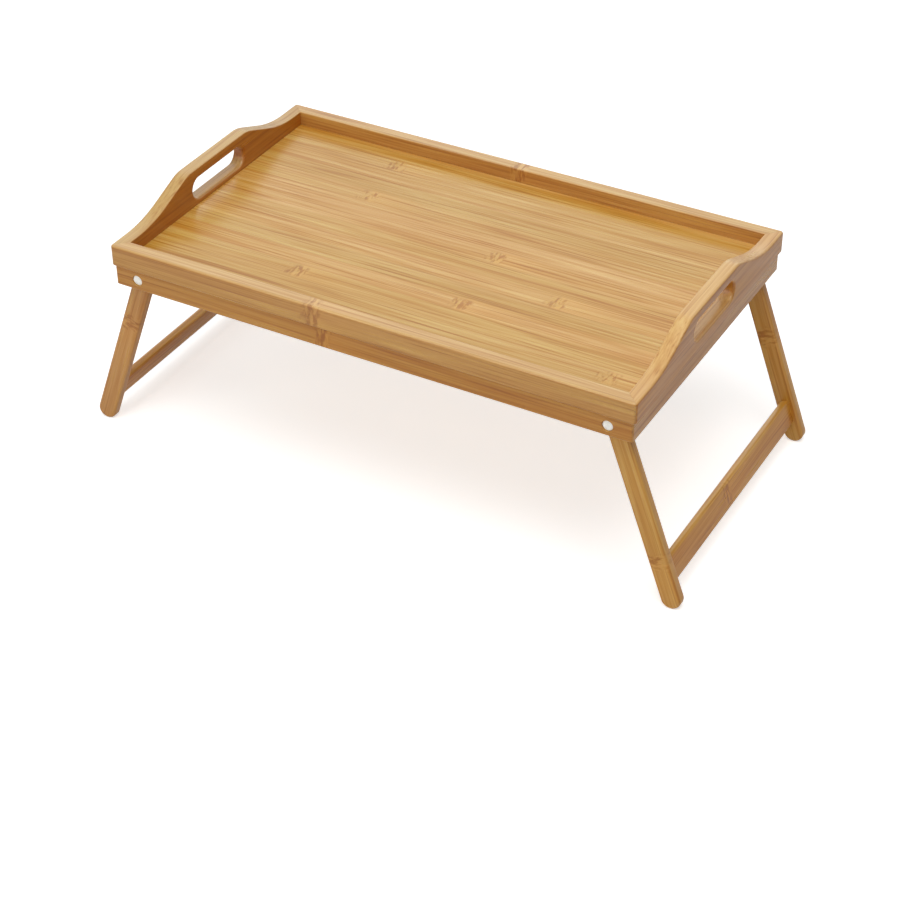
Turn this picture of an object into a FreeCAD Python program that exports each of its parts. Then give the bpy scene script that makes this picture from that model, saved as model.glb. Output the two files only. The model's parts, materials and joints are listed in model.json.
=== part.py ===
import FreeCAD, Part
import math
import os

# Folding bamboo bed tray table, millimetres.
# It stands on the floor at z = 0, centred on x and y. The tray's long side runs along x, and the two
# leg frames turn on dowels near its ends, about y axes, and fold inward under the tray.

Vector = FreeCAD.Vector

# Tray frame: two long rails and two end boards, mitred at the corners
tray_length = 500.0
tray_width = 300.0
frame_stock = 13.0
frame_depth = 20.0
corner_radius = 3.0
rim_outer_ease = 2.0
rim_inner_ease = 1.0
frame_lower_chamfer = 1.0

# Handle swell on each end board: a flat top, a round shoulder, a straight fall and a long hollow
handle_rise = 21.5
handle_margin = 24.0
handle_slope = 21.0
shoulder_radius = 35.0
hollow_radius = 120.0

# Hand slot through each end board, with full round ends and chamfered mouths
slot_length = 82.0
slot_height = 20.0
handle_grip = 10.0
slot_chamfer = 1.5

# Tray panel: a laminated board whose tongue sits in a groove round the frame
panel_drop = 13.0
panel_thickness = 5.0
panel_clearance = 0.2
tongue_thickness = 3.0
tongue_drop = 1.0
groove_depth = 3.0
groove_clearance = 0.1

# Apron: a lower mitred frame, set in a little under the tray frame, that carries the legs
apron_stock = 9.0
apron_end_inset = 2.5
apron_side_inset = 1.5
apron_corner_radius = 2.0
apron_lower_chamfer = 1.0

# Legs, with full round ends and a chamfer along both outlines
leg_width = 18.0
leg_thickness = 10.0
leg_reach = 172.0
leg_splay = 20.0
leg_chamfer = 1.5
leg_side_gap = 0.5
leg_headroom = 0.5
leg_hide = 0.5
stop_gap = 0.3

# Crossbars, with stub tenons in the legs
bar_drop = 138.0
bar_height = 23.0
bar_thickness = 8.0
bar_ease = 1.8
tenon_height = 15.0
tenon_thickness = 5.0
tenon_length = 6.0
tenon_clearance = 0.1

# Pivot dowels: glued in the legs, turning in the long apron rails
pivot_diameter = 10.0
pivot_running_clearance = 0.08
pivot_recess = 1.2
pivot_chamfer = 0.6

# Hidden joinery: loose splines between apron and tray frame, and square keys across the frame's mitres
glue_clearance = 0.05
spline_length = 30.0
spline_thickness = 3.0
spline_height = 14.0
spline_end_clearance = 0.5
side_spline_count = 3
side_spline_pitch = 160.0
end_spline_count = 2
end_spline_pitch = 130.0
key_thickness = 3.0
key_drop = 7.0
key_cover = 1.5

# Heights, from the floor up
pivot_z = leg_width / 2 + leg_reach * math.cos(math.radians(leg_splay))
apron_bottom = pivot_z - leg_width / 2 - leg_hide
frame_bottom = pivot_z + leg_width / 2 + leg_headroom
rim = frame_bottom + frame_depth
panel_top = rim - panel_drop
tongue_top = panel_top - tongue_drop
slot_middle = rim + handle_rise - handle_grip - slot_height / 2

# Half sizes in plan
frame_x = tray_length / 2
frame_y = tray_width / 2
inner_x = frame_x - frame_stock
inner_y = frame_y - frame_stock
groove_x = inner_x + groove_depth
groove_y = inner_y + groove_depth
apron_x = frame_x - apron_end_inset
apron_y = frame_y - apron_side_inset
handle_foot = frame_y - handle_margin
leg_outer_y = apron_y - apron_stock - leg_side_gap
leg_inner_y = leg_outer_y - leg_thickness

# An open leg leans on the lower inner edge of the end apron rail, and that sets the pivot's place
stop_drop = pivot_z - apron_bottom
stop_offset = leg_width / 2 + stop_gap + stop_drop * math.sin(math.radians(leg_splay))
pivot_x = apron_x - apron_stock - stop_offset / math.cos(math.radians(leg_splay))

# The splines that join apron to tray frame stand between the panel groove and the apron's outer face
spline_row_x = (groove_x + apron_x) / 2
spline_row_y = (groove_y + apron_y) / 2

ENDS = {"left": -1, "right": 1}
SIDES = {"front": -1, "back": 1}
NEAR = 0.001
ALONG_Y = Vector(0, 1, 0)
PIVOT_AXIS = {"left": Vector(-pivot_x, 0, pivot_z), "right": Vector(pivot_x, 0, pivot_z)}


def block(half_x, half_y, low, high):
    """A box centred in plan, between two heights."""
    return Part.makeBox(2 * half_x, 2 * half_y, high - low, Vector(-half_x, -half_y, low))


def long_plate(length, width, depth):
    """A plate with full round ends, centred: its length along z, width along x, depth along y."""
    radius = width / 2
    reach = length / 2 - radius
    plate = Part.makeBox(width, depth, 2 * reach, Vector(-radius, -depth / 2, -reach))
    for end in (-reach, reach):
        plate = plate.fuse(Part.makeCylinder(radius, depth, Vector(0, -depth / 2, end), ALONG_Y))
    return plate.removeSplitter()


def lies_on(edge, axis, place):
    """True for an edge that stays on the plane at this place on the axis, or at its opposite."""
    low = getattr(edge.BoundBox, axis + "Min")
    high = getattr(edge.BoundBox, axis + "Max")
    return high - low < NEAR and abs(abs(low) - place) < NEAR


def ring(half_x, half_y, stock, low, high, radius, lower_chamfer):
    """A rectangular frame with round outer corners and a chamfered lower outline."""
    outer = block(half_x, half_y, low, high)
    uprights = [edge for edge in outer.Edges if lies_on(edge, "X", half_x) and lies_on(edge, "Y", half_y)]
    outer = outer.makeFillet(radius, uprights)
    outer = outer.makeChamfer(lower_chamfer, [edge for edge in outer.Edges if lies_on(edge, "Z", low)])
    return outer.cut(block(half_x - stock, half_y - stock, low, high))


def mitred(frame, half_x, half_y, stock, low, high):
    """Cuts a rectangular frame on its four mitre lines into named pieces."""
    pieces = {}
    reach = min(half_x, half_y) - 1.5 * stock
    for name, (turn_x, turn_y) in {"front": (0, -1), "back": (0, 1), "left": (-1, 0), "right": (1, 0)}.items():
        outline = []
        for step, across in ((stock, -1), (stock, 1), (-reach, 1), (-reach, -1)):
            x = (half_x + step) * (turn_x or across)
            y = (half_y + step) * (turn_y or across)
            outline.append(Vector(x, y, low))
        wedge = Part.Face(Part.makePolygon(outline + outline[:1])).extrude(Vector(0, 0, high - low))
        pieces[name] = frame.common(wedge)
    return pieces


def handle_swell(end):
    """The raised part of an end board, drawn as half its outline and mirrored. Its flat top takes the
    length that the falls leave between its two feet."""
    slope = math.radians(handle_slope)
    curves_run = (shoulder_radius + hollow_radius) * math.tan(slope / 2)
    flat_half = handle_foot - handle_rise / math.tan(slope) - curves_run
    flat_end = Vector(0, flat_half, rim + handle_rise)
    shoulder_middle = flat_end + Vector(0, math.sin(slope / 2), math.cos(slope / 2) - 1) * shoulder_radius
    shoulder_end = flat_end + Vector(0, math.sin(slope), math.cos(slope) - 1) * shoulder_radius
    curved_rise = (shoulder_radius + hollow_radius) * (1 - math.cos(slope))
    fall = (handle_rise - curved_rise) / math.sin(slope)
    hollow_start = shoulder_end + Vector(0, math.cos(slope), -math.sin(slope)) * fall
    hollow_end = hollow_start + Vector(0, math.sin(slope), math.cos(slope) - 1) * hollow_radius
    hollow_middle = hollow_end - Vector(0, math.sin(slope / 2), math.cos(slope / 2) - 1) * hollow_radius
    root = Vector(0, hollow_end.y, rim - frame_depth / 2)
    outline = Part.Wire([
        Part.makeLine(Vector(0, 0, root.z), Vector(0, 0, flat_end.z)),
        Part.makeLine(Vector(0, 0, flat_end.z), flat_end),
        Part.Arc(flat_end, shoulder_middle, shoulder_end).toShape(),
        Part.makeLine(shoulder_end, hollow_start),
        Part.Arc(hollow_start, hollow_middle, hollow_end).toShape(),
        Part.makeLine(hollow_end, root),
        Part.makeLine(root, Vector(0, 0, root.z)),
    ])
    half = Part.Face(outline).extrude(Vector(frame_stock, 0, 0))
    half.translate(Vector(min(end * inner_x, end * frame_x), 0, 0))
    return half.fuse(half.mirror(Vector(), ALONG_Y)).removeSplitter()


def hand_slot(end):
    """The finger hole through an end board, its length turned to y and its depth to x."""
    slot = long_plate(slot_length, slot_height, 2 * frame_stock)
    slot.rotate(Vector(), Vector(1, 1, 1), -120)
    slot.translate(Vector(end * (frame_x - frame_stock / 2), 0, slot_middle))
    return slot


def rim_edges(frame, half_x, half_y):
    """The frame's top edges over one rectangle, with the handle curves at its ends."""
    found = []
    for edge in frame.Edges:
        on_end = lies_on(edge, "X", half_x) and edge.BoundBox.ZMin > rim - NEAR
        on_side = lies_on(edge, "Y", half_y) and lies_on(edge, "Z", rim)
        if on_end or on_side:
            found.append(edge)
    return found


def rim_corners(frame):
    """The arcs round the frame's outer corners, at the rim."""
    found = []
    for edge in frame.Edges:
        outside = abs(edge.CenterOfMass.x) > inner_x and abs(edge.CenterOfMass.y) > inner_y
        if outside and lies_on(edge, "Z", rim) and edge.Curve.TypeId == "Part::GeomCircle":
            found.append(edge)
    return found


def slot_mouths(frame):
    """The edges of both hand slots on the faces of their boards."""
    found = []
    for edge in frame.Edges:
        box = edge.BoundBox
        on_face = lies_on(edge, "X", frame_x) or lies_on(edge, "X", inner_x)
        in_length = max(-box.YMin, box.YMax) < slot_length / 2 + NEAR
        in_height = abs(edge.CenterOfMass.z - slot_middle) < slot_height / 2 + NEAR
        if on_face and in_length and in_height:
            found.append(edge)
    return found


def panel_groove():
    """The groove that runs round the inside of the tray frame."""
    low = tongue_top - tongue_thickness - groove_clearance
    return block(groove_x, groove_y, low, tongue_top + groove_clearance)


def key_places():
    """The middle of each mitre of the tray frame, at the keys' height."""
    x = frame_x - frame_stock / 2
    y = frame_y - frame_stock / 2
    return [Vector(end * x, side * y, rim - key_drop) for end in ENDS.values() for side in SIDES.values()]


def mitre_key(place, clearance):
    """A square slip of wood across one mitre, set with a corner towards each face."""
    side = math.sqrt(2) * (frame_stock / 2 - key_cover) + 2 * clearance
    thickness = key_thickness + 2 * clearance
    key = Part.makeBox(side, side, thickness, Vector(-side / 2, -side / 2, -thickness / 2))
    key.rotate(Vector(), Vector(0, 0, 1), 45)
    key.translate(place)
    return key


def row(count, pitch):
    """Evenly spaced places about zero."""
    return [pitch * (index - (count - 1) / 2) for index in range(count)]


def spline_pockets(side_clearance, end_clearance):
    """The splines between apron and tray frame, or with clearances the pockets that they stand in."""
    half_length = spline_length / 2 + end_clearance
    half_thickness = spline_thickness / 2 + side_clearance
    low = frame_bottom - spline_height / 2 - end_clearance
    high = frame_bottom + spline_height / 2 + end_clearance
    found = []
    for turn in (-1, 1):
        for x in row(side_spline_count, side_spline_pitch):
            spline = block(half_length, half_thickness, low, high)
            found.append(spline.translated(Vector(x, turn * spline_row_y, 0)))
        for y in row(end_spline_count, end_spline_pitch):
            spline = block(half_thickness, half_length, low, high)
            found.append(spline.translated(Vector(turn * spline_row_x, y, 0)))
    return found


def tray_frame():
    """The mitred frame with its handles, hand slots, groove and joint holes, in four pieces."""
    frame = ring(frame_x, frame_y, frame_stock, frame_bottom, rim, corner_radius, frame_lower_chamfer)
    for end in ENDS.values():
        frame = frame.fuse(handle_swell(end))
    frame = frame.removeSplitter()
    outer_rim = rim_edges(frame, frame_x, frame_y) + rim_corners(frame)
    frame = frame.makeFillet(rim_outer_ease, outer_rim)
    frame = frame.makeFillet(rim_inner_ease, rim_edges(frame, inner_x, inner_y))
    frame = frame.cut([hand_slot(end) for end in ENDS.values()])
    frame = frame.makeChamfer(slot_chamfer, slot_mouths(frame))
    holes = [panel_groove()]
    holes += [mitre_key(place, glue_clearance) for place in key_places()]
    holes += spline_pockets(glue_clearance, spline_end_clearance)
    frame = frame.cut(holes)
    return mitred(frame, frame_x, frame_y, frame_stock, frame_bottom, rim + handle_rise)


def tray_panel():
    """The board with a tongue all round."""
    field = block(inner_x - panel_clearance, inner_y - panel_clearance, panel_top - panel_thickness, panel_top)
    tongue_low = tongue_top - tongue_thickness
    tongue = block(groove_x - panel_clearance, groove_y - panel_clearance, tongue_low, tongue_top)
    return field.fuse(tongue)


def pivot_hole(end, side):
    """The running hole for one pivot dowel, through the long apron rail."""
    radius = pivot_diameter / 2 + pivot_running_clearance
    start = PIVOT_AXIS[end] + ALONG_Y * (side * apron_y - apron_stock)
    return Part.makeCylinder(radius, 2 * apron_stock, start, ALONG_Y)


def apron():
    """The mitred lower frame with its pivot holes and joint holes, in four pieces."""
    radius = apron_corner_radius
    frame = ring(apron_x, apron_y, apron_stock, apron_bottom, frame_bottom, radius, apron_lower_chamfer)
    holes = [pivot_hole(end, side) for end in ENDS for side in SIDES.values()]
    holes += spline_pockets(glue_clearance, spline_end_clearance)
    return mitred(frame.cut(holes), apron_x, apron_y, apron_stock, apron_bottom, frame_bottom)


def bar_tenons(clearance):
    """Both tenons of a crossbar as one bar through it, upright under a pivot axis at the origin."""
    height = tenon_height + 2 * clearance
    thickness = tenon_thickness + 2 * clearance
    half_length = leg_inner_y + tenon_length + clearance
    middle = bar_drop + bar_height / 2
    corner = Vector(-thickness / 2, -half_length, -middle - height / 2)
    return Part.makeBox(thickness, 2 * half_length, height, corner)


def opened(shape, end):
    """Turns an upright piece of a leg frame out to its splay and hangs it on its pivot axis."""
    shape.rotate(Vector(), ALONG_Y, -ENDS[end] * leg_splay)
    shape.translate(PIVOT_AXIS[end])
    return shape


def leg(end, side):
    """A leg with its dowel hole and its mortise."""
    bar = long_plate(leg_reach + leg_width, leg_width, leg_thickness)
    bar = bar.makeChamfer(leg_chamfer, [edge for edge in bar.Edges if lies_on(edge, "Y", leg_thickness / 2)])
    bar.translate(Vector(0, side * (leg_outer_y - leg_thickness / 2), -leg_reach / 2))
    radius = pivot_diameter / 2 + glue_clearance
    hole = Part.makeCylinder(radius, 2 * leg_thickness, Vector(0, side * leg_outer_y - leg_thickness, 0), ALONG_Y)
    return opened(bar.cut([hole, bar_tenons(tenon_clearance)]), end)


def crossbar(end):
    """The bar between two legs, with eased edges and a tenon at each end."""
    corner = Vector(-bar_thickness / 2, -leg_inner_y, -bar_drop - bar_height)
    bar = Part.makeBox(bar_thickness, 2 * leg_inner_y, bar_height, corner)
    bar = bar.makeFillet(bar_ease, [edge for edge in bar.Edges if edge.BoundBox.YLength > leg_inner_y])
    return opened(bar.fuse(bar_tenons(0)), end)


def pivot_dowel(end, side):
    """A dowel from just inside the apron's outer face to the leg's inner face."""
    outer_y = apron_y - pivot_recess
    length = outer_y - leg_inner_y
    start = PIVOT_AXIS[end] + ALONG_Y * (side * outer_y)
    dowel = Part.makeCylinder(pivot_diameter / 2, length, start, ALONG_Y * -side)
    return dowel.makeChamfer(pivot_chamfer, [edge for edge in dowel.Edges if lies_on(edge, "Y", outer_y)])


def build():
    """Every piece of the table by its name."""
    frame_pieces = tray_frame()
    apron_pieces = apron()
    pieces = {"tray_panel": tray_panel()}
    for side in SIDES:
        pieces[side + "_rail"] = frame_pieces[side]
        pieces[side + "_apron_rail"] = apron_pieces[side]
    for end in ENDS:
        pieces[end + "_end_board"] = frame_pieces[end]
        pieces[end + "_apron_rail"] = apron_pieces[end]
        pieces[end + "_crossbar"] = crossbar(end)
        for side in SIDES:
            pieces[side + "_" + end + "_leg"] = leg(end, SIDES[side])
            pieces[side + "_" + end + "_pivot_dowel"] = pivot_dowel(end, SIDES[side])
    pieces["mitre_keys"] = Part.makeCompound([mitre_key(place, 0) for place in key_places()])
    pieces["apron_splines"] = Part.makeCompound(spline_pockets(0, 0))
    return pieces


os.makedirs("parts", exist_ok=True)
for name, shape in build().items():
    shape.exportStep(os.path.join("parts", name + ".step"))
    print(name, "solids", len(shape.Solids), "volume", round(shape.Volume), "valid", shape.isValid())
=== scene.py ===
import bmesh
import bpy
import json
import math
from mathutils import Matrix, Vector


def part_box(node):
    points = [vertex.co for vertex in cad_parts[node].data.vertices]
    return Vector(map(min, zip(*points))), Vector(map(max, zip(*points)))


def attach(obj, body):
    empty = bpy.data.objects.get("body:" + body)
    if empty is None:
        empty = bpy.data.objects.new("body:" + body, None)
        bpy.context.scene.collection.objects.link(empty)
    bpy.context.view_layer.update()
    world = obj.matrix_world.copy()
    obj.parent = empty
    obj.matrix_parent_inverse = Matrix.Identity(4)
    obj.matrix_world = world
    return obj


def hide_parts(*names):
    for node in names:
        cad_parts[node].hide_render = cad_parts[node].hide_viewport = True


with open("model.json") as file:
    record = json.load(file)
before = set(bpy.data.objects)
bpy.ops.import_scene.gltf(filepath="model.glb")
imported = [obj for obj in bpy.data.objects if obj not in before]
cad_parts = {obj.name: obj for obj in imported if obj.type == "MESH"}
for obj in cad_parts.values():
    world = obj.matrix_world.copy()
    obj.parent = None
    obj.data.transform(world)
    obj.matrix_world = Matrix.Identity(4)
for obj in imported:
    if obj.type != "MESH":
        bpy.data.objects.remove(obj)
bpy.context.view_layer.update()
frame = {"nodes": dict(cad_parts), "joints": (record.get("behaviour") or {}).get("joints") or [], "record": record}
nodes = frame["nodes"]
joints = {joint["name"]: joint for joint in frame["joints"]}
print("frame loaded:", len(nodes), "CAD nodes")

mm = 0.001
touch = 0.01 * mm  # what lies nearer than this lies in the same place
smoothAngle = math.radians(35)
ends = {"left": -1, "right": 1}
sides = {"front": -1, "back": 1}
corners = [(side, end) for side in sides for end in ends]


def toLinear(hexColour):
    parts = [int(hexColour[i:i + 2], 16) / 255 for i in (1, 3, 5)]
    return [p / 12.92 if p <= 0.04045 else ((p + 0.055) / 1.055) ** 2.4 for p in parts] + [1]


def clearedTree(owner):
    owner.use_nodes = True
    owner.node_tree.nodes.clear()
    return owner.node_tree


# An input is named, or numbered where names repeat: a Mix node has its two numbers at 2 and 3, and its two
# colours at 6 and 7, which it gives out at 2
def addNode(tree, kind, inputs=None, stops=None, **settings):
    node = tree.nodes.new(kind)
    for key, value in settings.items():
        setattr(node, key, value)
    for key, value in (inputs or {}).items():
        if isinstance(value, bpy.types.NodeSocket):
            tree.links.new(value, node.inputs[key])
        else:
            node.inputs[key].default_value = value
    if stops:
        elements = node.color_ramp.elements
        while len(elements) < len(stops):
            elements.new(0.5)
        for element, (position, colour) in zip(elements, stops):
            element.position = position
            element.color = colour
    return node


# Camera at the photograph's angle: a long lens from the front right, above the tray
viewpoint = {
    "place": (0.8041, -1.4333, 1.1740),
    "turn": (53.850, 0.287, 29.067),
    "lens": 88.08,
    "sensor": 36.0,
}


def addCamera(v):
    bpy.ops.object.camera_add(location=v["place"], rotation=[math.radians(angle) for angle in v["turn"]])
    camera = bpy.context.object
    camera.name = "camera"
    camera.data.lens = v["lens"]
    camera.data.sensor_width = v["sensor"]
    bpy.context.scene.camera = camera


addCamera(viewpoint)
print("camera placed")

# A white table-top studio: an even sky, a big soft box overhead, one behind the tray that gives the panel
# its sheen, and one in front for the rails and legs. Sizes are in metres.
studio = {
    "floorSize": 8.0,
    "floorColour": "#F0F0F0",
    "floorGlow": {"Is Camera Ray": 0.55, "Is Glossy Ray": 0.15},
    "farGlow": 0.35,
    "farFrom": (0.9, 3.0),
    "skyForLight": 0.25,
    "skyForView": 1.0,
    "lamps": {
        "overheadSoftBox": {"place": (0.35, -0.60, 2.20), "size": 1.5, "watts": 28},
        "backSoftBox": {"place": (-0.90, 1.60, 1.50), "size": 2.0, "watts": 9},
        "frontSoftBox": {"place": (-0.60, -1.90, 1.30), "size": 1.2, "watts": 12},
    },
    "aim": (0, 0, 0.15),
}


def addFloor(s):
    bpy.ops.mesh.primitive_plane_add(size=s["floorSize"], location=(0, 0, 0))
    floor = bpy.context.object
    floor.name = "floor"
    material = bpy.data.materials.new("pale paper floor")
    tree = clearedTree(material)
    # The floor takes shadow as matt paper does, and it also glows a little for the camera and in gloss
    rays = addNode(tree, "ShaderNodeLightPath")
    glow = 0.0
    for ray, strength in s["floorGlow"].items():
        added = addNode(tree, "ShaderNodeMath", {0: rays.outputs[ray], 1: strength, 2: glow},
                        operation="MULTIPLY_ADD")
        glow = added.outputs[0]
    # Far from the lamps the paper would look grey, so its glow grows with the distance from the table
    place = addNode(tree, "ShaderNodeTexCoord")
    fromTable = addNode(tree, "ShaderNodeVectorMath", {0: place.outputs["Object"]}, operation="LENGTH")
    far = addNode(tree, "ShaderNodeMapRange", {
        "Value": fromTable.outputs["Value"], "From Min": s["farFrom"][0], "From Max": s["farFrom"][1],
        "To Max": s["farGlow"]})
    farSeen = addNode(tree, "ShaderNodeMath", {
        0: far.outputs[0], 1: rays.outputs["Is Camera Ray"], 2: glow}, operation="MULTIPLY_ADD")
    light = addNode(tree, "ShaderNodeEmission", {"Color": (1, 1, 1, 1), "Strength": farSeen.outputs[0]})
    paper = addNode(tree, "ShaderNodeBsdfDiffuse", {"Color": toLinear(s["floorColour"])})
    both = addNode(tree, "ShaderNodeAddShader", {0: paper.outputs[0], 1: light.outputs[0]})
    addNode(tree, "ShaderNodeOutputMaterial", {"Surface": both.outputs[0]})
    floor.data.materials.append(material)


def addSky(s):
    world = bpy.data.worlds.new("studio")
    bpy.context.scene.world = world
    tree = clearedTree(world)
    rays = addNode(tree, "ShaderNodeLightPath")
    seen = addNode(tree, "ShaderNodeMath", {
        0: rays.outputs["Is Camera Ray"], 1: rays.outputs["Is Glossy Ray"]}, operation="MAXIMUM")
    strength = addNode(tree, "ShaderNodeMapRange", {
        "Value": seen.outputs[0], "To Min": s["skyForLight"], "To Max": s["skyForView"]})
    sky = addNode(tree, "ShaderNodeBackground", {"Color": (1, 1, 1, 1), "Strength": strength.outputs[0]})
    addNode(tree, "ShaderNodeOutputWorld", {"Surface": sky.outputs[0]})


def addLamps(s):
    for name, lamp in s["lamps"].items():
        towards = Vector(s["aim"]) - Vector(lamp["place"])
        turn = towards.to_track_quat("-Z", "Y").to_euler()
        bpy.ops.object.light_add(type="AREA", location=lamp["place"], rotation=turn)
        softBox = bpy.context.object
        softBox.name = name
        softBox.data.shape = "SQUARE"
        softBox.data.size = lamp["size"]
        softBox.data.energy = lamp["watts"]


bpy.ops.object.select_all(action="DESELECT")
addFloor(studio)
addSky(studio)
addLamps(studio)
bpy.context.scene.view_settings.view_transform = "Standard"
print("studio lit")

# Carbonised bamboo: strips of cane steamed brown, pressed and glued side by side, sanded and lacquered.
# The eye sees long soft fibres of gold and rose, thin dark lines, a few knuckle marks and a satin gloss.
# Widths and lengths are in millimetres. A pair says where an effect begins and where it is full.
cane = {
    "patch": {"width": 7.0, "stretch": 26.0, "detail": 2},
    "streak": {"width": 2.0, "stretch": 36.0, "detail": 3},
    "fibre": {"width": 0.8, "stretch": 60.0, "detail": 2},
    "streakShare": 0.60,
    "fibreShare": 0.45,
    "toneSpread": 0.14,
    "stripShift": 900.0,
    "stripShade": 0.05,
    "gold": [(0.00, "#B0761E"), (0.30, "#C08B30"), (0.55, "#CA9C46"), (1.00, "#DCB868")],
    "rose": [(0.00, "#AE701E"), (0.30, "#BE8534"), (0.55, "#C9964A"), (1.00, "#DCB26C")],
    "rosyFrom": (0.40, 0.68),
    "rosyByStrip": 0.25,
    "darkLine": "#9C6214",
    "darkLineFrom": (0.40, 0.30),
    "darkLineStrength": 0.40,
    "knuckle": [(0.40, "#A66806"), (0.47, "#BA8228"), (0.56, "#CEA04C")],
    "knuckleDash": {"width": 1.5, "length": 4.5, "slant": 25.0, "detail": 2, "distortion": 0.3},
    "knuckleHalfLength": 11.0,
    "knuckleCore": 0.35,
    "knuckleFade": (0.30, 0.48),
    "knuckleSway": 16.0,
    "knuckleSwayScale": 0.15,
    "knuckleStrength": 0.85,
    "knuckleSpan": 1000.0,
    "palerFrom": (60.0, 10.0),
    "palerLift": 0.08,
    "glueLine": 0.10,
    "glueHalfWidth": 0.4,
    "ior": 1.5,
    "roughness": (0.24, 0.38),
    "fibreRelief": 0.03 * mm,
    # Sideways faces get painted shade between these two upward facings
    "flankShadeFrom": (0.85, 0.35),
    "edgeRadius": 0.6 * mm,
    # Edges are painted pale: a painted highlight along them, partly also sanding wear
    "edgeWearAndHighlightFrom": (0.99, 0.85),
    "edgePaleness": 0.22,
    "edgeColour": "#E2BE86",
}


def knuckleStops(places, span):
    # One flat step of a colour ramp for each strip: its red is the knuckle's place along the strip, and
    # its alpha is 0 where that strip has no knuckle
    stops = []
    for index, place in enumerate(places):
        red = 0.5 + (place or 0) / span
        stops.append((index / len(places), (red, red, red, 0.0 if place is None else 1.0)))
    return stops


def bambooMaterial(name, c, cut):
    material = bpy.data.materials.new(name)
    tree = clearedTree(material)

    # Millimetres in the board's own directions: x along the grain, y across the strips
    along, across = Vector(cut["along"]), Vector(cut["across"])
    directions = Matrix((along, across, along.cross(across)))
    start = directions @ (Vector(cut["start"]) / mm)
    place = addNode(tree, "ShaderNodeTexCoord")
    board = addNode(tree, "ShaderNodeMapping", {
        "Vector": place.outputs["Object"], "Location": -start, "Rotation": directions.to_euler(),
        "Scale": (1 / mm,) * 3})
    apart = addNode(tree, "ShaderNodeSeparateXYZ", {0: board.outputs[0]})

    # Each strip is another length of cane, so it gets its own stretch of the pattern
    counted = addNode(tree, "ShaderNodeMath", {0: apart.outputs["Y"], 1: 1 / cut["stripWidth"]},
                      operation="MULTIPLY")
    strip = addNode(tree, "ShaderNodeMath", {0: counted.outputs[0]}, operation="FLOOR")
    chance = addNode(tree, "ShaderNodeTexWhiteNoise", {"Vector": (cut["seed"], 0, 0), "W": strip.outputs[0]},
                     noise_dimensions="4D")
    shifted = addNode(tree, "ShaderNodeVectorMath", {
        0: chance.outputs["Color"], 1: (c["stripShift"],) * 3, 2: board.outputs[0]}, operation="MULTIPLY_ADD")

    # Three sizes of the same drawn-out noise, from broad patches to single fibres
    layers = []
    for layer in (c["patch"], c["streak"], c["fibre"]):
        drawnOut = addNode(tree, "ShaderNodeVectorMath", {
            0: shifted.outputs[0], 1: (1 / layer["stretch"], 1, cut["grainDepth"])}, operation="MULTIPLY")
        layers.append(addNode(tree, "ShaderNodeTexNoise", {
            "Vector": drawnOut.outputs[0], "Scale": 0.5 / layer["width"], "Detail": layer["detail"]}))
    patch, streak, fibre = [layer.outputs["Fac"] for layer in layers]
    coarse = addNode(tree, "ShaderNodeMix", {0: c["streakShare"], 2: patch, 3: streak})
    mixed = addNode(tree, "ShaderNodeMix", {0: c["fibreShare"], 2: coarse.outputs[0], 3: fibre})
    spread = c["toneSpread"] / cut["contrast"]
    tone = addNode(tree, "ShaderNodeMapRange", {
        "Value": mixed.outputs[0], "From Min": 0.5 - spread, "From Max": 0.5 + spread})

    # Gold and rose cane, mixed by strip and by patch
    gold = addNode(tree, "ShaderNodeValToRGB", {0: tone.outputs[0]}, [(p, toLinear(h)) for p, h in c["gold"]])
    rose = addNode(tree, "ShaderNodeValToRGB", {0: tone.outputs[0]}, [(p, toLinear(h)) for p, h in c["rose"]])
    hue = addNode(tree, "ShaderNodeMix", {
        0: c["rosyByStrip"], 2: layers[0].outputs["Color"], 3: chance.outputs["Value"]})
    rosiness = addNode(tree, "ShaderNodeMapRange", {
        "Value": hue.outputs[0], "From Min": c["rosyFrom"][0], "From Max": c["rosyFrom"][1]})
    fibres = addNode(tree, "ShaderNodeMix", {0: rosiness.outputs[0], 6: gold.outputs[0], 7: rose.outputs[0]},
                     data_type="RGBA")

    # Thin dark lines where the fibres run deepest
    line = addNode(tree, "ShaderNodeMapRange", {
        "Value": fibre, "From Min": c["darkLineFrom"][0], "From Max": c["darkLineFrom"][1],
        "To Max": c["darkLineStrength"]})
    lined = addNode(tree, "ShaderNodeMix", {
        0: line.outputs[0], 6: fibres.outputs[2], 7: toLinear(c["darkLine"])}, data_type="RGBA")

    # How far a point is beyond its strip's knuckle, which sways a little
    known = addNode(tree, "ShaderNodeMath", {0: counted.outputs[0], 1: 1 / len(cut["knuckles"])},
                    operation="MULTIPLY")
    where = addNode(tree, "ShaderNodeValToRGB", {0: known.outputs[0]},
                    knuckleStops(cut["knuckles"], c["knuckleSpan"]))
    where.color_ramp.interpolation = "CONSTANT"
    there = addNode(tree, "ShaderNodeMapRange", {
        "Value": where.outputs["Color"], "To Min": -c["knuckleSpan"] / 2, "To Max": c["knuckleSpan"] / 2})
    sway = addNode(tree, "ShaderNodeTexNoise", {
        "Vector": shifted.outputs[0], "Scale": c["knuckleSwayScale"], "Detail": 1})
    swayed = addNode(tree, "ShaderNodeMath", {
        0: sway.outputs["Fac"], 1: c["knuckleSway"], 2: apart.outputs["X"]}, operation="MULTIPLY_ADD")
    away = addNode(tree, "ShaderNodeMath", {0: swayed.outputs[0], 1: there.outputs[0]}, operation="SUBTRACT")
    reach = addNode(tree, "ShaderNodeMath", {0: away.outputs[0], 1: c["knuckleSway"] / 2},
                    operation="SUBTRACT")
    reached = addNode(tree, "ShaderNodeMath", {0: reach.outputs[0]}, operation="ABSOLUTE")
    mark = addNode(tree, "ShaderNodeMapRange", {
        "Value": reached.outputs[0], "From Min": c["knuckleCore"] * c["knuckleHalfLength"],
        "From Max": c["knuckleHalfLength"], "To Min": c["knuckleStrength"], "To Max": 0.0},
        interpolation_type="SMOOTHSTEP")

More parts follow.
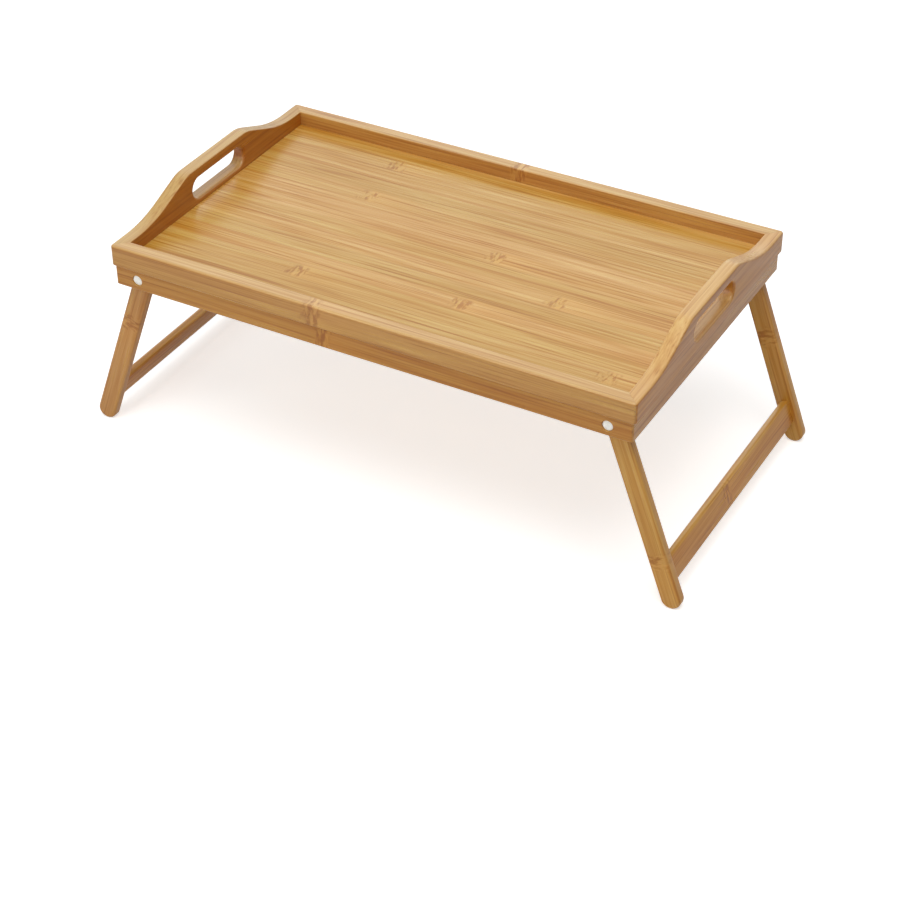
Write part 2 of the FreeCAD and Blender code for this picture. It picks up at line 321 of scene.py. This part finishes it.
    # The two edges of a strip: the knuckle fades out towards them, and the glue line lies on them
    within = addNode(tree, "ShaderNodeMath", {0: counted.outputs[0]}, operation="FRACT")
    fromMiddle = addNode(tree, "ShaderNodeMath", {0: within.outputs[0], 1: 0.5}, operation="SUBTRACT")
    toEdge = addNode(tree, "ShaderNodeMath", {0: fromMiddle.outputs[0]}, operation="ABSOLUTE")
    inner = addNode(tree, "ShaderNodeMapRange", {
        "Value": toEdge.outputs[0], "From Min": c["knuckleFade"][0], "From Max": c["knuckleFade"][1],
        "To Min": 1.0, "To Max": 0.0})
    marked = addNode(tree, "ShaderNodeMath", {0: mark.outputs[0], 1: inner.outputs[0]}, operation="MULTIPLY")
    placed = addNode(tree, "ShaderNodeMath", {0: marked.outputs[0], 1: where.outputs["Alpha"]},
                     operation="MULTIPLY")

    # A knuckle: the fibres knot together in short, slanted, dark and pale dashes
    dash = c["knuckleDash"]
    slant = math.radians(dash["slant"])
    drawnAcross = dash["width"] / dash["length"]
    dashes = addNode(tree, "ShaderNodeMapping", {
        "Vector": shifted.outputs[0], "Rotation": (0, slant, slant), "Scale": (1, drawnAcross, drawnAcross)})
    flecks = addNode(tree, "ShaderNodeTexNoise", {
        "Vector": dashes.outputs[0], "Scale": 0.5 / dash["width"], "Detail": dash["detail"],
        "Distortion": dash["distortion"]})
    knuckle = addNode(tree, "ShaderNodeValToRGB", {0: flecks.outputs["Fac"]},
                      [(p, toLinear(h)) for p, h in c["knuckle"]])
    knuckled = addNode(tree, "ShaderNodeMix", {
        0: placed.outputs[0], 6: lined.outputs[2], 7: knuckle.outputs[0]}, data_type="RGBA")
    glue = addNode(tree, "ShaderNodeMapRange", {
        "Value": toEdge.outputs[0], "From Min": 0.5 - c["glueHalfWidth"] / cut["stripWidth"],
        "From Max": 0.5, "To Max": c["glueLine"]})
    glued = addNode(tree, "ShaderNodeMix", {
        0: glue.outputs[0], 6: knuckled.outputs[2], 7: toLinear(c["darkLine"])}, data_type="RGBA")

    # Every strip has its own shade, and the cane is paler for a few centimetres beyond its knuckle
    value = addNode(tree, "ShaderNodeMapRange", {
        "Value": chance.outputs["Value"], "To Min": cut["value"] * (1 - c["stripShade"]),
        "To Max": cut["value"] * (1 + c["stripShade"])})
    beyond = addNode(tree, "ShaderNodeMath", {0: reach.outputs[0], 1: 0.0}, operation="GREATER_THAN")
    paler = addNode(tree, "ShaderNodeMapRange", {
        "Value": reach.outputs[0], "From Min": c["palerFrom"][1], "From Max": c["palerFrom"][0],
        "To Min": c["palerLift"], "To Max": 0.0})
    onStrip = addNode(tree, "ShaderNodeMath", {0: beyond.outputs[0], 1: where.outputs["Alpha"]},
                      operation="MULTIPLY")
    lifted = addNode(tree, "ShaderNodeMath", {
        0: paler.outputs[0], 1: onStrip.outputs[0], 2: value.outputs[0]}, operation="MULTIPLY_ADD")
    colour = addNode(tree, "ShaderNodeHueSaturation", {
        "Color": glued.outputs[2], "Value": lifted.outputs[0], "Saturation": cut["saturation"]})

    # Painted shade: faces that turn aside from up are darkened and reddened by the board's flank colour, which is
    # in part also the strips' own darker flank
    facing = addNode(tree, "ShaderNodeSeparateXYZ", {0: place.outputs["Normal"]})
    upward = addNode(tree, "ShaderNodeMath", {0: facing.outputs["Z"]}, operation="ABSOLUTE")
    sideShade = addNode(tree, "ShaderNodeMapRange", {
        "Value": upward.outputs[0], "From Min": c["flankShadeFrom"][0], "From Max": c["flankShadeFrom"][1]})
    flankShade = addNode(tree, "ShaderNodeMix", {
        0: sideShade.outputs[0], 6: colour.outputs[0], 7: toLinear(cut["flankShade"])}, data_type="RGBA",
        blend_type="MULTIPLY")
    # Painted highlight, partly sanding wear: where the rounded normal bends away from the face, the colour turns
    # pale
    rounded = addNode(tree, "ShaderNodeBevel", {"Radius": c["edgeRadius"]}, samples=4)
    geometry = addNode(tree, "ShaderNodeNewGeometry")
    bent = addNode(tree, "ShaderNodeVectorMath", {0: rounded.outputs[0], 1: geometry.outputs["Normal"]},
                   operation="DOT_PRODUCT")
    wearAndHighlight = addNode(tree, "ShaderNodeMapRange", {
        "Value": bent.outputs["Value"], "From Min": c["edgeWearAndHighlightFrom"][0], "From Max": c["edgeWearAndHighlightFrom"][1],
        "To Max": c["edgePaleness"]})
    finished = addNode(tree, "ShaderNodeMix", {
        0: wearAndHighlight.outputs[0], 6: flankShade.outputs[2], 7: toLinear(c["edgeColour"])}, data_type="RGBA")

    # Pale fibres are the hardest and polish best. The lacquer leaves a trace of their relief.
    rough = addNode(tree, "ShaderNodeMapRange", {
        "Value": tone.outputs[0], "To Min": c["roughness"][1], "To Max": c["roughness"][0]})
    relief = addNode(tree, "ShaderNodeBump", {
        "Height": mixed.outputs[0], "Distance": c["fibreRelief"], "Normal": rounded.outputs[0]})
    shader = addNode(tree, "ShaderNodeBsdfPrincipled", {
        "Base Color": finished.outputs[2], "Roughness": rough.outputs[0], "Normal": relief.outputs[0],
        "IOR": c["ior"]})
    addNode(tree, "ShaderNodeOutputMaterial", {"Surface": shader.outputs[0]})
    return material


splay = joints["left_leg_fold"]["range_deg"][1] - 90
down = {end: Vector((ends[end] * math.sin(math.radians(splay)), 0, -math.cos(math.radians(splay))))
        for end in ends}
pivots = {end: Vector(joints[end + "_leg_fold"]["pos_m"]) for end in ends}

# How a board is cut: the directions of its grain and across its strips, the width of its strips, the place
# of each strip's knuckle along it, its tone, and the painted shade of its sideways faces. Places are in
# millimetres from the start of the pattern.
plain = {"along": (1, 0, 0), "across": (0, 1, 0), "stripWidth": 60.0, "knuckles": [None], "grainDepth": 1.0,
         "contrast": 0.8, "value": 1.0, "saturation": 1.0, "flankShade": "#F2E9DA"}
acrossTray = {"along": (0, 1, 0), "across": (-1, 0, 0), "grainDepth": 0.6}
panelKnuckles = [None, 207, -98, 51, None, 121, None, 42, None, -110, None, None, -115, None]
knuckles = {
    "front_rail": -47, "front_apron_rail": -37, "back_rail": -3, "right_crossbar": -13,
    "front_left_leg": 58, "front_right_leg": 135, "back_right_leg": 74, "back_left_leg": 110,
}
# A board takes each tone and painted side shade whose name is in its own, in this order. The flank colours are
# painted shade on sideways faces, and in part the strips' darker flank.
tonesAndShades = {
    "panel": {"contrast": 1.0},
    # The rails are paler and greyer: partly paler cane, partly painted sheen for their tops
    "rail": {"value": 1.12, "saturation": 0.87, "flankShade": "#E6D0A8"},
    "back_rail": {"contrast": 1.1},
    "apron": {"value": 0.94, "saturation": 1.0, "flankShade": "#EED6AC"},
    "end_board": {"value": 1.12, "saturation": 0.90, "flankShade": "#DEBC6C", "contrast": 0.65},
    "left_end_board": {"value": 1.02, "flankShade": "#E4B468"},
    "leg": {"stripWidth": 22.0, "flankShade": "#FFF4E4"},
    "right_leg": {"value": 1.05, "flankShade": "#F8EBE0"},
    "front_left_leg": {"value": 0.86, "saturation": 0.97, "flankShade": "#FFE8D4"},
    "crossbar": {"stripWidth": 27.0, "value": 1.03, "flankShade": "#F4D8A0"},
}


def cutOf(name):
    low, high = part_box(name)
    middle = (low + high) / 2
    cut = dict(plain, seed=sum(ord(letter) for letter in name), knuckles=[knuckles.get(name)])
    for kind, toneAndShade in tonesAndShades.items():
        if kind in name:
            cut.update(toneAndShade)
    halfStrip = cut["stripWidth"] / 2 * mm
    end = "left" if "left" in name else "right"
    if name == "tray_panel":
        cut.update(start=(0, low.y, low.z), stripWidth=(high.y - low.y) / mm / len(panelKnuckles),
                   knuckles=panelKnuckles)
    elif name.endswith("_leg"):
        across = Vector((-down[end].z, 0, down[end].x))
        cut.update(along=down[end], across=across,
                   start=Vector((pivots[end].x, middle.y, pivots[end].z)) - halfStrip * across)
    elif name.endswith("_crossbar"):
        cut.update(along=(0, 1, 0), across=down[end], start=middle - halfStrip * down[end])
    elif name.startswith(("left", "right")):
        cut.update(acrossTray, start=(middle.x + halfStrip, 0, low.z))
    else:
        cut.update(start=(0, middle.y - halfStrip, low.z))
    return cut


for name, node in nodes.items():
    if "dowel" not in name:
        node.material_slots[0].material = bambooMaterial("lacquered bamboo " + name, cane, cutOf(name))
print("bamboo boards finished")

# Turned beech dowels, left pale: the end grain shows as fine pores and faint rings. Sizes are in
# millimetres, and the pattern is drawn out along the dowel.
dowelWood = {
    "pale": (0.50, "#FFFEF8"),
    "dark": (0.35, "#E0D4B8"),
    "poreSize": 0.5,
    "poreRelief": 0.05 * mm,
    "ringWidth": 6.4,
    "ringDistortion": 0.6,
    "stretch": 20.0,
    "roughness": 0.5,
    "ior": 1.5,
}


def dowelMaterial(name, d):
    material = bpy.data.materials.new(name)
    tree = clearedTree(material)
    place = addNode(tree, "ShaderNodeTexCoord")
    board = addNode(tree, "ShaderNodeMapping", {"Vector": place.outputs["Object"], "Scale": (1 / mm,) * 3})
    drawnOut = addNode(tree, "ShaderNodeVectorMath", {0: board.outputs[0], 1: (1, 1 / d["stretch"], 1)},
                       operation="MULTIPLY")
    pores = addNode(tree, "ShaderNodeTexNoise", {
        "Vector": drawnOut.outputs[0], "Scale": 1 / d["poreSize"], "Detail": 2})
    rings = addNode(tree, "ShaderNodeTexNoise", {
        "Vector": drawnOut.outputs[0], "Scale": 1 / d["ringWidth"], "Detail": 1,
        "Distortion": d["ringDistortion"]})
    both = addNode(tree, "ShaderNodeMix", {0: 0.5, 2: pores.outputs["Fac"], 3: rings.outputs["Fac"]})
    colour = addNode(tree, "ShaderNodeValToRGB", {0: both.outputs[0]},
                     [(p, toLinear(h)) for p, h in (d["dark"], d["pale"])])
    relief = addNode(tree, "ShaderNodeBump", {"Height": pores.outputs["Fac"], "Distance": d["poreRelief"]})
    shader = addNode(tree, "ShaderNodeBsdfPrincipled", {
        "Base Color": colour.outputs[0], "Roughness": d["roughness"], "Normal": relief.outputs[0],
        "IOR": d["ior"]})
    addNode(tree, "ShaderNodeOutputMaterial", {"Surface": shader.outputs[0]})
    return material


paleDowel = dowelMaterial("pale beech dowel", dowelWood)
for name, node in nodes.items():
    if "dowel" in name:
        node.material_slots[0].material = paleDowel
print("dowels finished")


# Helpers for modelling: operators act on what is selected, so pieces are picked one at a time, and their
# vertices, edges and faces by their place
def selectOnly(piece):
    bpy.ops.object.select_all(action="DESELECT")
    piece.select_set(True)
    bpy.context.view_layer.objects.active = piece


def selectWhere(piece, kind, chosen):
    bpy.ops.mesh.select_mode(type=kind)
    bpy.ops.mesh.select_all(action="DESELECT")
    mesh = bmesh.from_edit_mesh(piece.data)
    for part in {"EDGE": mesh.edges, "FACE": mesh.faces, "VERT": mesh.verts}[kind]:
        places = [part.co] if kind == "VERT" else [vert.co for vert in part.verts]
        if all(chosen(place) for place in places):
            part.select_set(True)
    mesh.select_flush_mode()
    bmesh.update_edit_mesh(piece.data)


def copyOf(piece):
    selectOnly(piece)
    bpy.ops.object.duplicate()
    return bpy.context.object


def settle(piece, name, place, turn, body, material, node):
    # Puts the piece in its place, leaves that place in its mesh, and lets it stand for its CAD node
    selectOnly(piece)
    piece.name = name
    piece.data.name = name
    piece.location = place
    piece.rotation_euler = turn
    bpy.ops.object.transform_apply(location=True, rotation=True, scale=True)
    bpy.ops.object.shade_smooth_by_angle(angle=smoothAngle)
    piece.data.materials.append(material)
    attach(piece, body)
    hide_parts(node)


# A leg is a flat stave with half-round ends. Its edges are rolled over all round, and it has a hole for its
# dowel. Sizes are in millimetres, as they are in the CAD.
stave = {"width": 18.0, "thickness": 10.0, "reach": 172.0, "endSteps": 64, "edgeRoll": 2.4, "rollSteps": 5,
         "hole": 10.1, "holeSteps": 48}


def modelStave(v):
    # A disc, whose lower half is pulled down to the foot. It is turned half a step first, so that no point
    # lies where the straight sides begin.
    bpy.ops.object.select_all(action="DESELECT")
    bpy.ops.mesh.primitive_cylinder_add(
        vertices=v["endSteps"], radius=v["width"] / 2 * mm, depth=v["thickness"] * mm,
        rotation=(math.radians(90), math.radians(180 / v["endSteps"]), 0))
    piece = bpy.context.object
    bpy.ops.object.transform_apply(location=True, rotation=True, scale=True)
    bpy.ops.object.mode_set(mode="EDIT")
    selectWhere(piece, "VERT", lambda co: co.z < 0)
    bpy.ops.transform.translate(value=(0, 0, -v["reach"] * mm))
    for side in (-1, 1):
        outer = side * v["thickness"] / 2 * mm
        selectWhere(piece, "EDGE", lambda co: abs(co.y - outer) < touch)
        bpy.ops.mesh.bevel(offset=v["edgeRoll"] * mm, segments=v["rollSteps"], affect="EDGES")
    bpy.ops.object.mode_set(mode="OBJECT")
    bpy.ops.mesh.primitive_cylinder_add(
        vertices=v["holeSteps"], radius=v["hole"] / 2 * mm, depth=2 * v["thickness"] * mm,
        rotation=(math.radians(90), 0, 0))
    drill = bpy.context.object
    selectOnly(piece)
    hole = piece.modifiers.new("dowel hole", "BOOLEAN")
    hole.object = drill
    hole.solver = "EXACT"
    bpy.ops.object.modifier_apply(modifier=hole.name)
    bpy.data.objects.remove(drill)
    return piece


# A crossbar is a flat lath between the two legs, with its four long edges rolled
lath = {"height": 23.0, "thickness": 8.0, "drop": 138.0, "edgeRoll": 2.4, "rollSteps": 5}


def modelLath(v, length):
    bpy.ops.object.select_all(action="DESELECT")
    middle = -(v["drop"] + v["height"] / 2) * mm
    bpy.ops.mesh.primitive_cube_add(
        size=1, location=(0, 0, middle), scale=(v["thickness"] * mm, length, v["height"] * mm))
    piece = bpy.context.object
    bpy.ops.object.transform_apply(location=True, rotation=True, scale=True)
    bpy.ops.object.mode_set(mode="EDIT")
    bpy.ops.mesh.select_mode(type="EDGE")
    bpy.ops.mesh.select_all(action="DESELECT")
    mesh = bmesh.from_edit_mesh(piece.data)
    for edge in mesh.edges:
        run = edge.verts[0].co - edge.verts[1].co
        edge.select_set(abs(run.y) > length / 2)
    bmesh.update_edit_mesh(piece.data)
    bpy.ops.mesh.bevel(offset=v["edgeRoll"] * mm, segments=v["rollSteps"], affect="EDGES")
    bpy.ops.object.mode_set(mode="OBJECT")
    return piece


# A pivot dowel: its ends are sanded to a low crown with a small round at the rim
dowel = {"diameter": 9.98, "steps": 48, "crown": 0.35, "crownInset": 1.4, "rimRound": 0.6, "rimSteps": 3}


def modelDowel(v, length):
    bpy.ops.object.select_all(action="DESELECT")
    bpy.ops.mesh.primitive_cylinder_add(vertices=v["steps"], radius=v["diameter"] / 2 * mm, depth=length,
                                        rotation=(math.radians(90), 0, 0))
    piece = bpy.context.object
    bpy.ops.object.transform_apply(location=True, rotation=True, scale=True)
    bpy.ops.object.mode_set(mode="EDIT")
    for side in (1, -1):
        selectWhere(piece, "FACE", lambda co: side * co.y > length / 2 - touch)
        bpy.ops.mesh.inset(thickness=v["crownInset"] * mm)
        bpy.ops.transform.translate(value=(0, side * v["crown"] * mm, 0))
    # The rim is the outermost edge of an end, and the crown's own edge lies well inside it
    rim = (v["diameter"] - v["crownInset"]) / 2 * mm
    for side in (-1, 1):
        selectWhere(piece, "EDGE", lambda co: abs(co.y - side * length / 2) < touch and
                    math.hypot(co.x, co.z) > rim)
        bpy.ops.mesh.bevel(offset=v["rimRound"] * mm, segments=v["rimSteps"], affect="EDGES")
    bpy.ops.object.mode_set(mode="OBJECT")
    return piece


# The end boards keep the shape of the CAD. A router has rounded over the mouths of their hand slots, which
# are the sharp edges in a band of this half length and height round the slot's middle.
mouth = {"halfLength": 43.0, "halfHeight": 12.0, "rounding": 0.9, "roundingSteps": 3, "sharpFrom": 30.0,
         "weld": 0.005, "flatWithin": 0.5}


def modelEndBoard(v, node):
    piece = bpy.data.objects.new("end board", node.data.copy())
    bpy.context.collection.objects.link(piece)
    selectOnly(piece)
    bpy.ops.object.mode_set(mode="EDIT")
    bpy.ops.mesh.select_all(action="SELECT")
    bpy.ops.mesh.remove_doubles(threshold=v["weld"] * mm)
    bpy.ops.mesh.customdata_custom_splitnormals_clear()
    bpy.ops.mesh.dissolve_limited(angle_limit=math.radians(v["flatWithin"]))
    slotLow, slotHigh = frame["record"]["physics"]["openings"][0]["box_m"]
    slotMiddle = (slotLow[2] + slotHigh[2]) / 2
    mesh = bmesh.from_edit_mesh(piece.data)
    bpy.ops.mesh.select_mode(type="EDGE")
    bpy.ops.mesh.select_all(action="DESELECT")
    for edge in mesh.edges:
        first, last = [vert.co for vert in edge.verts]
        near = all(abs(co.y) < v["halfLength"] * mm and abs(co.z - slotMiddle) < v["halfHeight"] * mm
                   for co in (first, last))
        sharp = edge.calc_face_angle(0) > math.radians(v["sharpFrom"])
        if near and sharp and abs(first.x - last.x) < touch:
            edge.select_set(True)
    bmesh.update_edit_mesh(piece.data)
    bpy.ops.mesh.bevel(offset=v["rounding"] * mm, segments=v["roundingSteps"], affect="EDGES")
    bpy.ops.object.mode_set(mode="OBJECT")
    return piece


for end in ends:
    name = end + "_end_board"
    piece = modelEndBoard(mouth, nodes[name])
    piece.data.materials.clear()
    settle(piece, "routed_" + name, (0, 0, 0), (0, 0, 0), "tray",
           nodes[name].material_slots[0].material, name)
    print(piece.name, len(piece.data.polygons), "faces")

firstLeg = modelStave(stave)
legs = [firstLeg] + [copyOf(firstLeg) for count in range(3)]
for (side, end), leg in zip(corners, legs):
    name = side + "_" + end + "_leg"
    low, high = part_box(name)
    settle(leg, "rolled_" + name, (pivots[end].x, (low.y + high.y) / 2, pivots[end].z),
           (0, -ends[end] * math.radians(splay), 0), end + "_leg_frame",
           nodes[name].material_slots[0].material, name)

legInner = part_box("back_left_leg")[0].y
firstBar = modelLath(lath, 2 * legInner)
for end, bar in zip(ends, [firstBar, copyOf(firstBar)]):
    name = end + "_crossbar"
    settle(bar, "rolled_" + name, (pivots[end].x, 0, pivots[end].z), (0, -ends[end] * math.radians(splay), 0),
           end + "_leg_frame", nodes[name].material_slots[0].material, name)

low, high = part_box("back_left_pivot_dowel")
firstDowel = modelDowel(dowel, high.y - low.y)
dowels = [firstDowel] + [copyOf(firstDowel) for count in range(3)]
for (side, end), pin in zip(corners, dowels):
    name = side + "_" + end + "_pivot_dowel"
    settle(pin, "crowned_" + name, (pivots[end].x, sides[side] * (low.y + high.y) / 2, pivots[end].z),
           (0, 0, 0), end + "_leg_frame", paleDowel, name)
print("legs, crossbars and dowels modelled")
